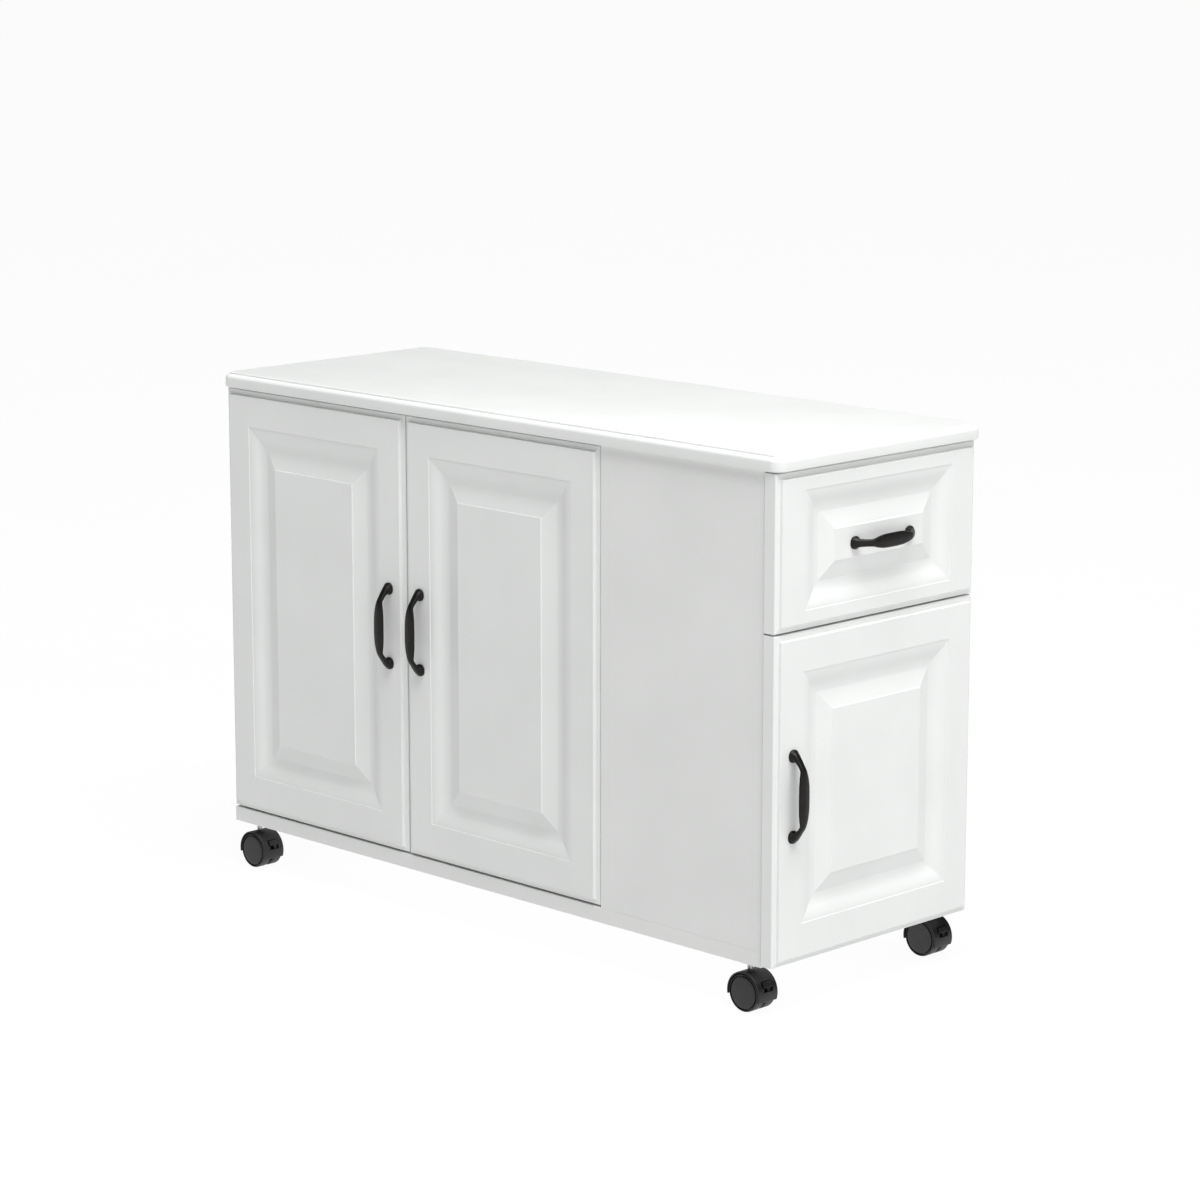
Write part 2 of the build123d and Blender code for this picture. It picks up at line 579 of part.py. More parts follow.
# ---- drawer -----------------------------------------------------------------------------------------
DRAWER_SIDE, DRAWER_BOTTOM = 12.0, 5.0
RUNNER_SPACE = 13.0
DRAWER_BACK_X = 850.0
DRAWER_LOW_Z, DRAWER_HIGH_Z = 552.0, 702.0
DRAWER_FRONT_BACK_X = END_FACE_X - DOOR_THICKNESS
GROOVE = 5.0
RUNNER_LENGTH, RUNNER_X = 248.0, 848.0
RUNNER_Z, RUNNER_HEIGHT, RUNNER_INNER_HEIGHT = 622.0, 45.0, 35.0
SHEET = 1.2
CAGE_LENGTH, BALLS = 120.0, 8


def channel(x0, wall_y, side, height, reach, length):
    """A pressed channel on a wall, its two flanges reaching out by reach."""
    out = side * reach
    edges = sorted((wall_y, wall_y + out))
    web = sorted((wall_y, wall_y + side * SHEET))
    low, high = RUNNER_Z - height / 2, RUNNER_Z + height / 2
    plate = block(x0, x0 + length, web[0], web[1], low, high)
    bottom = block(x0, x0 + length, edges[0], edges[1], low, low + SHEET)
    return plate + bottom + block(x0, x0 + length, edges[0], edges[1], high - SHEET, high)


def ball_cage(y):
    """Two strips of balls, above and below the inner channel of one runner."""
    gap = (RUNNER_HEIGHT - RUNNER_INNER_HEIGHT) / 2 - SHEET
    offset = RUNNER_INNER_HEIGHT / 2 + gap / 2
    start = RUNNER_X + 20.0
    strips = []
    for level in (RUNNER_Z - offset, RUNNER_Z + offset):
        strip = block(start, start + CAGE_LENGTH, y - 2.5, y + 2.5, level - 0.5, level + 0.5)
        for i in range(BALLS):
            x = start + 8.0 + i * (CAGE_LENGTH - 16.0) / (BALLS - 1)
            strip += Pos(x, y, level) * Sphere(gap / 2 - 0.3)
        strips.append(strip)
    return strips


def write_drawer():
    """The drawer's front, box and runners."""
    y0, y1 = BOARD + RUNNER_SPACE, REAR_PANEL_Y - RUNNER_SPACE
    x0, x1 = DRAWER_BACK_X, DRAWER_FRONT_BACK_X
    z0 = DRAWER_LOW_Z + 8.0
    bottom = block(x0 + GROOVE, x1 + GROOVE, y0 + GROOVE, y1 - GROOVE, z0, z0 + DRAWER_BOTTOM)
    boards = {
        "drawer_side_front": block(x0, x1, y0, y0 + DRAWER_SIDE, DRAWER_LOW_Z, DRAWER_HIGH_Z),
        "drawer_side_rear": block(x0, x1, y1 - DRAWER_SIDE, y1, DRAWER_LOW_Z, DRAWER_HIGH_Z),
        "drawer_back": block(
            x0, x0 + DRAWER_SIDE, y0 + DRAWER_SIDE, y1 - DRAWER_SIDE, DRAWER_LOW_Z, DRAWER_HIGH_Z
        ),
    }
    for name, board in boards.items():
        write(name, board - bottom)
    write("drawer_bottom", bottom)
    place = on_end(DRAWER_FRONT)
    handle_place = Location((END_FACE_X, DRAWER_HANDLE_Y, DRAWER_HANDLE_Z), (0, 0, 90)) * Rotation(0, 90, 0)
    width, height = DRAWER_FRONT[1] - DRAWER_FRONT[0], DRAWER_FRONT[3] - DRAWER_FRONT[2]
    front = place * raised_front(width, height, DRAWER_RAIL_WIDTH) - bottom
    for hole in add_handle("drawer", handle_place):
        front -= hole
    write("drawer_front", front)
    inner = RUNNER_SPACE - SHEET - 3.0
    write("runner_channels", [
        channel(RUNNER_X, BOARD, 1, RUNNER_HEIGHT, inner, RUNNER_LENGTH),
        channel(RUNNER_X, REAR_PANEL_Y, -1, RUNNER_HEIGHT, inner, RUNNER_LENGTH),
    ])
    write("drawer_runners", [
        channel(RUNNER_X, y0, -1, RUNNER_INNER_HEIGHT, inner, RUNNER_LENGTH),
        channel(RUNNER_X, y1, 1, RUNNER_INNER_HEIGHT, inner, RUNNER_LENGTH),
    ])
    middle = RUNNER_SPACE / 2
    write("runner_ball_cages", ball_cage(BOARD + middle) + ball_cage(REAR_PANEL_Y - middle))


# ---- doors -------------------------------------------------------------------------------------------
def write_door(name, extent, place, handle_place, hinge_place):
    """A door with its handle, screws and hinge cups."""
    door = place * raised_front(extent[1] - extent[0], extent[3] - extent[2], STILE + 1.0)
    for z in hinge_heights(extent):
        door -= hinge_place(hinge_cup_hole(), z)
    for hole in add_handle(name, handle_place):
        door -= hole
    write(f"{name}_panel", door)
    write(f"{name}_hinge_cups", [hinge_place(hinge_cup(), z) for z in hinge_heights(extent)])


def write_doors():
    """The two front doors and the end door."""
    left = Location((LEFT_HANDLE_X, -DOOR_PROUD, FRONT_HANDLE_Z))
    right = Location((RIGHT_HANDLE_X, -DOOR_PROUD, FRONT_HANDLE_Z))
    end = Location((END_FACE_X, END_HANDLE_Y, END_HANDLE_Z), (0, 0, 90))
    write_door("left_door", LEFT_DOOR, on_front(LEFT_DOOR), left, place_left)
    write_door("right_door", RIGHT_DOOR, on_front(RIGHT_DOOR), right, place_right)
    write_door("end_door", END_DOOR, on_end(END_DOOR), end, place_end)


def write_cabinet():
    """Everything that stays still."""
    write("worktop", worktop())
    for name, board in cabinet_boards().items():
        write(name, board)
    write("base_screws", [base_screw(x, y) for x, y in base_screw_places()])
    write("shelf_pins", [shelf_pin(x, y) for x, y in pin_places()])
    arms = [place_left(hinge_arm(BOARD - LEFT_DOOR[0]), z) for z in hinge_heights(LEFT_DOOR)]
    arms += [place_right(hinge_arm(-FRONT_GAP), z) for z in hinge_heights(RIGHT_DOOR)]
    arms += [place_end(hinge_arm(END_DOOR[1] - REAR_PANEL_Y), z) for z in hinge_heights(END_DOOR)]
    write("hinge_arms", arms)
    write("door_bumpers", bumpers())
    middle = CABINET_DEPTH / 2
    write("top_brackets", [
        top_bracket(BOARD, 160.0, 0),
        top_bracket(BOARD, 320.0, 0),
        top_bracket(DIVIDER_X, 160.0, 180),
        top_bracket(DIVIDER_X, 320.0, 180),
        top_bracket(950.0, REAR_PANEL_Y, -90),
        top_bracket(950.0, BOARD, 90),
        top_bracket(DIVIDER_RIGHT_X, middle, 0),
    ])


write_cabinet()
write_doors()
write_drawer()
write_casters()
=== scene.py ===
import json
import math

import bmesh
import bpy
from mathutils import Matrix, Vector


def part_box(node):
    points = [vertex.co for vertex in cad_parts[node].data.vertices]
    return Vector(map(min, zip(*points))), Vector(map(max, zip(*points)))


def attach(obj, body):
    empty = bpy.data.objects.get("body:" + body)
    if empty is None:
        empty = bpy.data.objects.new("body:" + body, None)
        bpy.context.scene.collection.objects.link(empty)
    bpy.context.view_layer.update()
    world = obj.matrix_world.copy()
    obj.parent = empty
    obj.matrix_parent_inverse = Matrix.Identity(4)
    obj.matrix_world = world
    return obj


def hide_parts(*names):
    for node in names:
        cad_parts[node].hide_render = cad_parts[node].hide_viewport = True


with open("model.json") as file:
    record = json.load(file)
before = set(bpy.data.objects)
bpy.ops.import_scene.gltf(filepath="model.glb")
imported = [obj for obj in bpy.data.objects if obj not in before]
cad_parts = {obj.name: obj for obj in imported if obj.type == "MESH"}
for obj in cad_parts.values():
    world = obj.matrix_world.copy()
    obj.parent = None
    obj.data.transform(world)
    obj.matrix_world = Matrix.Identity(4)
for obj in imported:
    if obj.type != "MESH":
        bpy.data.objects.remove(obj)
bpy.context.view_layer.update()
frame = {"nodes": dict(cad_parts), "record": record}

# Everything is in metres in the model's own frame: z up from the floor, x along the cabinet
# towards its drawer end, and -y towards the two front doors.
MM = 0.001


# ---- node materials ------------------------------------------------------------------------
def new_material(name):
    """An empty node material with its Principled shader and the surface's own coordinates."""
    material = bpy.data.materials.new(name)
    material.use_nodes = True
    tree = material.node_tree
    shader = tree.nodes["Principled BSDF"]
    place = tree.nodes.new("ShaderNodeTexCoord")
    return material, tree, shader, place.outputs["Object"]


def noise(tree, where, scale, detail=3.0, roughness=0.5, stretch=None):
    """A noise pattern. scale is in features per metre, and stretch squeezes it along x, y, z."""
    if stretch:
        mapping = tree.nodes.new("ShaderNodeMapping")
        mapping.inputs["Scale"].default_value = stretch
        tree.links.new(where, mapping.inputs["Vector"])
        where = mapping.outputs["Vector"]
    node = tree.nodes.new("ShaderNodeTexNoise")
    node.inputs["Scale"].default_value = scale
    node.inputs["Detail"].default_value = detail
    node.inputs["Roughness"].default_value = roughness
    tree.links.new(where, node.inputs["Vector"])
    return node.outputs["Fac"]


def ramp(tree, value, stops):
    """Colours or greys along a 0 to 1 value: stops are (position, colour)."""
    node = tree.nodes.new("ShaderNodeValToRGB")
    elements = node.color_ramp.elements
    while len(elements) < len(stops):
        elements.new(0.5)
    for element, (position, colour) in zip(elements, stops):
        element.position = position
        element.color = (*colour, 1.0)
    tree.links.new(value, node.inputs["Fac"])
    return node.outputs["Color"]


def span(tree, value, low, high):
    """Map a 0 to 1 value onto a range."""
    node = tree.nodes.new("ShaderNodeMapRange")
    node.inputs["To Min"].default_value = low
    node.inputs["To Max"].default_value = high
    tree.links.new(value, node.inputs["Value"])
    return node.outputs["Result"]


def bump(tree, shader, heights):
    """Chain bumps into the shader's normal: heights are (value, strength, distance in metres)."""
    normal = None
    for value, strength, distance in heights:
        node = tree.nodes.new("ShaderNodeBump")
        node.inputs["Strength"].default_value = strength
        node.inputs["Distance"].default_value = distance
        tree.links.new(value, node.inputs["Height"])
        if normal:
            tree.links.new(normal, node.inputs["Normal"])
        normal = node.outputs["Normal"]
    tree.links.new(normal, shader.inputs["Normal"])


def white_foil():
    """Satin white foil over routed board: nearly even, with a faint orange-peel surface."""
    material, tree, shader, where = new_material("white_foil")
    cloud = noise(tree, where, 9.0, 4.0)
    colour = ramp(tree, cloud, [(0.30, (0.792, 0.806, 0.794)), (0.70, (0.826, 0.840, 0.828))])
    tree.links.new(colour, shader.inputs["Base Color"])
    tree.links.new(span(tree, noise(tree, where, 60.0), 0.34, 0.46), shader.inputs["Roughness"])
    peel = noise(tree, where, 520.0, 2.0)
    wave = noise(tree, where, 28.0, 2.0)
    bump(tree, shader, [(wave, 0.10, 0.0008), (peel, 0.10, 0.00012)])
    shader.inputs["Specular IOR Level"].default_value = 0.45
    return material


def white_melamine(name, along):
    """White melamine with a very fine pressed grain along one axis."""
    material, tree, shader, where = new_material(name)
    stretch = [1.0, 1.0, 1.0]
    stretch["xyz".index(along)] = 0.06
    cloud = noise(tree, where, 7.0, 4.0)
    grain = noise(tree, where, 900.0, 3.0, 0.6, stretch)
    colour = ramp(tree, cloud, [(0.30, (0.790, 0.801, 0.788)), (0.70, (0.824, 0.835, 0.822))])
    tree.links.new(colour, shader.inputs["Base Color"])
    tree.links.new(span(tree, grain, 0.36, 0.50), shader.inputs["Roughness"])
    bump(tree, shader, [(noise(tree, where, 35.0, 2.0), 0.06, 0.0006), (grain, 0.10, 0.00010)])
    shader.inputs["Specular IOR Level"].default_value = 0.42
    return material


def rubbed_black():
    """Oil-rubbed black over cast zinc: mottled near-black with a trace of brown, softly pitted."""
    material, tree, shader, where = new_material("rubbed_black")
    patches = noise(tree, where, 130.0, 5.0, 0.6)
    deep, middle, worn = (0.006, 0.0057, 0.0054), (0.010, 0.009, 0.0082), (0.022, 0.017, 0.014)
    colour = ramp(tree, patches, [(0.30, deep), (0.55, middle), (0.75, worn)])
    tree.links.new(colour, shader.inputs["Base Color"])
    tree.links.new(span(tree, patches, 0.50, 0.34), shader.inputs["Roughness"])
    shader.inputs["Metallic"].default_value = 0.55
    pits = noise(tree, where, 900.0, 3.0)
    bump(tree, shader, [(noise(tree, where, 160.0, 2.0), 0.18, 0.0005), (pits, 0.14, 0.00012)])
    return material


def moulded_black(name, grey, rough):
    """Moulded black nylon with a fine spark texture."""
    material, tree, shader, where = new_material(name)
    cloud = noise(tree, where, 90.0, 4.0)
    dark = (grey * 0.82, grey * 0.82, grey * 0.82)
    light = (grey * 1.15, grey * 1.15, grey * 1.18)
    tree.links.new(ramp(tree, cloud, [(0.3, dark), (0.7, light)]), shader.inputs["Base Color"])
    wear = span(tree, noise(tree, where, 300.0), rough - 0.06, rough + 0.08)
    tree.links.new(wear, shader.inputs["Roughness"])
    bump(tree, shader, [(noise(tree, where, 2600.0, 2.0), 0.16, 0.00006), (cloud, 0.08, 0.0003)])
    return material


def plated_steel(name, grey, rough):
    """Plated steel sheet, finely rolled, with a cloudy variation in its shine."""
    material, tree, shader, where = new_material(name)
    rolled = noise(tree, where, 1400.0, 2.0, 0.5, (0.05, 1.0, 1.0))
    cloud = noise(tree, where, 70.0, 4.0)
    low, high = grey * 0.88, grey * 1.08
    colour = ramp(tree, cloud, [(0.3, (low, low, low * 1.01)), (0.7, (high, high, high * 1.01))])
    tree.links.new(colour, shader.inputs["Base Color"])
    tree.links.new(span(tree, cloud, rough - 0.06, rough + 0.10), shader.inputs["Roughness"])
    shader.inputs["Metallic"].default_value = 1.0
    bump(tree, shader, [(rolled, 0.10, 0.00005)])
    return material


def soft_buffer():
    """A soft milky buffer disc."""
    material, tree, shader, where = new_material("soft_buffer")
    cloud = noise(tree, where, 400.0, 3.0)
    colour = ramp(tree, cloud, [(0.3, (0.66, 0.66, 0.64)), (0.7, (0.74, 0.74, 0.72))])
    tree.links.new(colour, shader.inputs["Base Color"])
    tree.links.new(span(tree, cloud, 0.40, 0.60), shader.inputs["Roughness"])
    bump(tree, shader, [(cloud, 0.1, 0.0001)])
    return material


FOIL = white_foil()
BOARD_X = white_melamine("melamine_x", "x")
BOARD_Z = white_melamine("melamine_z", "z")
HANDLE = rubbed_black()
NYLON = moulded_black("nylon_black", 0.006, 0.42)
WHEEL = moulded_black("wheel_black", 0.015, 0.46)
STEEL = plated_steel("plated_steel", 0.56, 0.32)
BUFFER = soft_buffer()

SLOT_MATERIALS = {
    "white_board": BOARD_Z,
    "white_front": FOIL,
    "handle_black": HANDLE,
    "steel": STEEL,
    "caster_black": NYLON,
    "wheel_black": WHEEL,
    "bumper": BUFFER,
}
LEVEL_BOARDS = ("worktop", "base_board", "machine_shelf", "top_rail", "drawer_rail", "drawer_bottom")

slots = {part["node"]: part["material_slot"] for part in frame["record"]["subparts"]}
for name, node in frame["nodes"].items():
    material = BOARD_X if name in LEVEL_BOARDS else SLOT_MATERIALS[slots[name]]
    node.data.materials.clear()
    node.data.materials.append(material)


# ---- mesh helpers --------------------------------------------------------------------------
def add_piece(name, vertices, faces, body, material, replaced=(), sharp_angle=32.0):
    """A smooth-shaded mesh piece, sharp where its faces turn by more than sharp_angle."""
    mesh = bpy.data.meshes.new(name)
    mesh.from_pydata(vertices, [], faces)
    mesh.validate()
    piece = bpy.data.objects.new(name, mesh)
    bpy.context.scene.collection.objects.link(piece)
    fix_normals(mesh)
    shade(mesh, sharp_angle)
    mesh.materials.append(material)
    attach(piece, body)
    if replaced:
        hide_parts(*replaced)
    return piece


def fix_normals(mesh):
    """Turn every face outwards."""
    work = bmesh.new()
    work.from_mesh(mesh)
    bmesh.ops.recalc_face_normals(work, faces=work.faces)
    work.to_mesh(mesh)
    work.free()


def shade(mesh, sharp_angle):
    """Smooth shading, with sharp edges above an angle in degrees."""
    mesh.polygons.foreach_set("use_smooth", [True] * len(mesh.polygons))
    mesh.set_sharp_from_angle(angle=math.radians(sharp_angle))


def skin(rings, close_ends=True):
    """Vertices and quads through a row of rings of equal length, with a face on each end."""
    count = len(rings[0])
    vertices = [point for ring in rings for point in ring]
    faces = []
    for row in range(len(rings) - 1):
        for i in range(count):
            j = (i + 1) % count
            a, b = row * count, (row + 1) * count
            faces.append((a + i, a + j, b + j, b + i))
    if close_ends:
        faces.append(tuple(range(count))[::-1])
        faces.append(tuple(range(len(vertices) - count, len(vertices))))
    return vertices, faces


def arc(centre, radius, start, end, steps):
    """Points round part of a circle, in degrees, as (across, up) pairs."""
    points = []
    for i in range(steps + 1):
        angle = math.radians(start + (end - start) * i / steps)
        points.append((centre[0] + radius * math.cos(angle), centre[1] + radius * math.sin(angle)))
    return points


def moved(vertices, matrix):
    """The same vertices after a transform."""
    return [matrix @ Vector(point) for point in vertices]


def facing_out(place, turn, horizontal=False):
    """Stand a piece drawn on the plane y = 0, outwards towards -y, on the front or the end."""
    matrix = Matrix.Translation(place) @ Matrix.Rotation(math.radians(turn), 4, "Z")
    if horizontal:
        matrix = matrix @ Matrix.Rotation(math.radians(90), 4, "Y")
    return matrix


# The four corners of a rounded outline, in the order that its quarter turns come.
QUARTERS = ((1, 1), (-1, 1), (-1, -1), (1, -1))


# ---- worktop -------------------------------------------------------------------------------
def rounded_rectangle(half_x, half_y, radius, z, steps=10):
    """A ring round a rectangle with rounded corners."""
    ring = []
    for quarter, (side_x, side_y) in enumerate(QUARTERS):
        centre = (side_x * (half_x - radius), side_y * (half_y - radius))
        start = 90.0 * quarter
        ring += [(x, y, z) for x, y in arc(centre, radius, start, start + 90.0, steps)]
    return ring


def build_worktop():
    """A flat top, a small step, then a rounded nose down to a straight lower edge."""
    low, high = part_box("worktop")
    centre = (low + high) / 2
    half = (high - low) / 2
    nose, inset_top, step, corner = 6.5 * MM, 7.0 * MM, 3.0 * MM, 18.0 * MM
    top, bottom = high.z, low.z
    profile = [(2.4 * MM, bottom)]
    profile += arc((2 * MM, bottom + 2 * MM), 2 * MM, 260, 180, 5)
    profile += arc((nose, top - step - nose), nose, 180, 92, 10)
    profile += [(inset_top - 0.1 * MM, top - step), (inset_top, top - step + 0.2 * MM)]
    profile += arc((inset_top + 0.9 * MM, top - 0.9 * MM), 0.9 * MM, 180, 90, 4)
    rings = []
    for inset, z in profile:
        ring = rounded_rectangle(half.x - inset, half.y - inset, max(corner - inset, 1 * MM), z)
        rings.append([(centre.x + x, centre.y + y, z) for x, y, z in ring])
    vertices, faces = skin(rings)
    add_piece("worktop_board", vertices, faces, "cabinet", FOIL, ["worktop"])


# ---- raised-panel fronts ---------------------------------------------------------------------
STILE = 53.0 * MM
DOOR_RAIL, DRAWER_RAIL = 54.0 * MM, 26.0 * MM
FRONT_THICKNESS = 25.0


def edge_fall():
    """(inset, depth) pairs down a front's outer edge: rounded corner, ledge and steep riser."""
    pairs = [(0.6, FRONT_THICKNESS), (0.0, FRONT_THICKNESS - 0.6), (0.0, 7.6)]
    pairs += [(x, 14.0 - up) for x, up in arc((2.0, 7.0), 2.0, 180, 90, 6)]
    pairs += [(4.6, 4.78), (7.3, 4.52), (7.75, 4.3), (7.98, 3.7), (8.42, 0.95), (8.56, 0.5)]
    pairs += [(8.85, 0.14), (9.4, 0.0)]
    return [(inset * MM, depth * MM) for inset, depth in pairs]


def moulding():
    """(inset, depth) pairs from the frame's inner edge: quirk, S-shaped fall, groove and bevel."""
    pairs = [(-0.5, 0.0), (-0.05, 0.12), (0.08, 0.4), (0.2, 0.8)]
    pairs += [(1.0 + 16.0 * i / 8, 0.9 + 4.0 * (i / 8) ** 1.8) for i in range(9)]
    pairs += [(17.0 + 15.0 * i / 8, 4.9 + 3.5 * (1 - (1 - i / 8) ** 2)) for i in range(1, 9)]
    pairs += [(34.0, 8.4), (34.8, 8.25), (57.9, 1.38), (58.5, 1.1), (58.8, 0.6), (59.1, 0.2)]
    pairs += [(59.5, 0.03), (60.0, 0.0)]
    return [(inset * MM, depth * MM) for inset, depth in pairs]


def rectangle_ring(half_x, half_z, inset, depth):
    """Four corners of a rectangle lying inset from an outline."""
    x, z = half_x - inset, half_z - inset
    return [(-x, depth, -z), (x, depth, -z), (x, depth, z), (-x, depth, z)]


def build_front(node, body, turn, rail, cups):
    """A raised-panel front with mitred mouldings, bored at the back for its hinge cups."""
    low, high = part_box(node)
    size = high - low
    across = size.x if turn == 0 else size.y
    half_x, half_z = across / 2, size.z / 2
    centre = (low + high) / 2
    place = Vector((centre.x, low.y, centre.z)) if turn == 0 else Vector((high.x, centre.y, centre.z))
    rings = [rectangle_ring(half_x, half_z, inset, depth) for inset, depth in edge_fall()]
    for inset, depth in moulding():
        rings.append(rectangle_ring(half_x - STILE, half_z - rail, inset, depth))
    vertices, faces = skin(rings)
    matrix = facing_out(place, turn)
    piece = add_piece(f"{node}_foil", moved(vertices, matrix), faces, body, FOIL, [node])
    if cups:
        bore_cups(piece, cups, turn)
    mark_mitres(piece.data, matrix.inverted(), (half_x, half_z), rail)


def mark_mitres(mesh, to_local, halves, rail):
    """Keep the mouldings' mitre lines sharp."""
    shade(mesh, 24.0)
    points = [to_local @ vertex.co for vertex in mesh.vertices]
    for edge in mesh.edges:
        on_edge, on_moulding = True, True
        for index in edge.vertices:
            point = points[index]
            in_x, in_z = halves[0] - abs(point.x), halves[1] - abs(point.z)
            on_edge = on_edge and abs(in_x - in_z) < 0.01 * MM
            on_moulding = on_moulding and abs((in_x - STILE) - (in_z - rail)) < 0.01 * MM
        if on_edge or on_moulding:
            edge.use_edge_sharp = True


def cut_away(piece, vertices, faces):
    """Cut a closed shape out of a piece."""
    mesh = bpy.data.meshes.new("cutter")
    mesh.from_pydata(vertices, [], faces)
    fix_normals(mesh)
    cutter = bpy.data.objects.new("cutter", mesh)
    bpy.context.scene.collection.objects.link(cutter)
    cut = piece.modifiers.new("cut", "BOOLEAN")
    cut.operation = "DIFFERENCE"
    cut.solver = "EXACT"
    cut.object = cutter
    bpy.context.view_layer.update()
    evaluated = piece.evaluated_get(bpy.context.evaluated_depsgraph_get())
    result = bpy.data.meshes.new_from_object(evaluated)
    piece.modifiers.clear()
    old = piece.data
    name = old.name
    piece.data = result
    bpy.data.meshes.remove(old)
    result.name = name
    bpy.data.objects.remove(cutter)


def bore_cups(piece, cups, turn):
    """Bore a blind round hole into the back for each hinge cup."""
    for place, radius, depth in cups:
        circle = arc((0, 0), radius, 0, 352.5, 47)
        vertices, faces = skin([[(x, y, z) for x, z in circle] for y in (-depth, 2 * MM)])
        cut_away(piece, moved(vertices, facing_out(place, turn)), faces)


# ---- handles -----------------------------------------------------------------------------------
# Foot to middle: place along the handle, height of the centre line, slope in degrees, half width
# and half thickness, in millimetres.
HANDLE_STATIONS = [
    (55.5, 0.0, 90.0, 8.8, 8.8),
    (55.5, 2.2, 90.0, 8.8, 8.8),
    (55.4, 3.2, 92.0, 8.1, 8.0),
    (55.1, 4.4, 98.0, 7.0, 6.6),
    (54.2, 6.2, 112.0, 6.1, 5.2),
    (52.4, 8.2, 126.0, 5.5, 4.2),
    (49.6, 10.7, 136.0, 5.2, 3.5),
    (46.4, 13.4, 139.5, 5.0, 3.1),
    (43.0, 16.2, 143.0, 5.0, 2.9),
    (39.6, 18.4, 154.0, 5.2, 2.8),
    (36.0, 19.6, 167.5, 6.0, 2.8),
    (29.0, 20.4, 175.0, 7.8, 2.8),
    (20.0, 20.9, 177.5, 9.2, 2.8),
    (10.0, 21.15, 178.8, 9.7, 2.8),
    (0.0, 21.2, 180.0, 9.8, 2.8),
]


def between(stations, steps):
    """Smooth stations between the given ones, by Catmull-Rom."""
    smooth = []
    last = len(stations) - 1
    for i in range(last):
        four = [stations[max(i - 1, 0)], stations[i], stations[i + 1], stations[min(i + 2, last)]]
        for step in range(steps):
            t = step / steps
            row = []
            for a, b, c, d in zip(*four):
                value = 2 * b + (c - a) * t + (2 * a - 5 * b + 4 * c - d) * t * t
                value += (3 * b - a - 3 * c + d) * t ** 3
                row.append(value / 2)
            smooth.append(row)
    return smooth + [list(stations[last])]


def handle_section(half_width, half_thick, ridge):
    """A rounded bar whose outer side rises to a ridge: (across, outwards) pairs."""
    edge = 0.9 * min(half_width, half_thick)
    section = []
    for quarter, (side_x, side_y) in enumerate(QUARTERS):
        centre = (side_x * (half_width - edge), side_y * (half_thick - edge))
        section += arc(centre, edge, 90.0 * quarter, 90.0 * (quarter + 1), 6)
        if quarter in (0, 2):
            section += [(side_x * 0.35, side_y * half_thick), (-side_x * 0.35, side_y * half_thick)]
    return [(across, out - ridge * abs(across) if out > 0 else out) for across, out in section]


def build_handle(node, body, turn, horizontal=False):
    """A cast bow handle: flared feet, legs leaning in, and a leaf-shaped ridged strap."""
    low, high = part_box(node)
    centre = (low + high) / 2
    place = Vector((centre.x, high.y, centre.z)) if turn == 0 else Vector((low.x, centre.y, centre.z))
    half = between(HANDLE_STATIONS, 4)
    whole = [row + [1] for row in half] + [row + [-1] for row in half[-2::-1]]
    rings = []
    for along, out, slope, half_width, half_thick, side in whole:
        ridge = 0.14 * max(0.0, min(1.0, (48.0 - along) / 10.0))
        lean = math.radians(slope)
        normal_out = -math.cos(lean)
        normal_along = math.sin(lean)
        ring = []
        for across, rise in handle_section(half_width, half_thick, ridge):
            y = -(out + rise * normal_out)
            z = side * (along + rise * normal_along)
            ring.append((across * MM, y * MM, z * MM))
        rings.append(ring)
    vertices, faces = skin(rings)
    matrix = facing_out(place, turn, horizontal)
    placed = moved(vertices, matrix)
    add_piece(f"{node}_casting", placed, faces, body, HANDLE, [node], 50.0)


# ---- casters -----------------------------------------------------------------------------------
WHEEL_RADIUS = 26.5 * MM
WHEEL_IN, WHEEL_OUT = 2.6 * MM, 18.8 * MM


def lathe(profile, steps):
    """Rings about the y axis through (radius, y) pairs."""
    rings = []
    for radius, y in profile:
        ring = []
        for i in range(steps):
            angle = 2 * math.pi * i / steps
            ring.append((radius * math.cos(angle), y, radius * math.sin(angle)))
        rings.append(ring)
    return rings


def wheel_profile():
    """(radius, y) round one wheel's half section, from the inner face's centre to the outer's."""
    r, inner, outer = WHEEL_RADIUS, WHEEL_IN, WHEEL_OUT
    profile = [(3.6 * MM, outer - 2.3 * MM), (3.6 * MM, inner + 4.6 * MM)]
    profile += [(20.0 * MM, inner + 4.6 * MM), (20.0 * MM, inner + 0.5 * MM), (20.5 * MM, inner)]
    profile += arc((r - 2.2 * MM, inner + 2.2 * MM), 2.2 * MM, -90, 0, 6)
    profile += arc((r - 2.0 * MM, outer - 2.4 * MM), 2.0 * MM, 0, 90, 8)
    profile += [(r - 2.0 * MM, outer - 0.5 * MM), (r - 2.1 * MM, outer - 3.6 * MM)]
    profile += [(r - 4.2 * MM, outer - 3.6 * MM), (r - 4.4 * MM, outer - 0.6 * MM)]
    profile += [(r - 5.2 * MM, outer - 0.35 * MM), (r - 8.6 * MM, outer), (3.0 * MM, outer)]
    return profile


def build_wheel(corner, end, side, axle):
    """One wheel of a twin pair, its dished face away from the other."""
    node = f"{corner}_caster_wheel_{end}"
    rings = lathe(wheel_profile(), 72)
    vertices, faces = skin(rings)
    placed = [(axle.x + x, axle.y + side * y, axle.z + z) for x, y, z in vertices]
    add_piece(f"{node}_moulding", placed, faces, node, WHEEL, [node], 40.0)


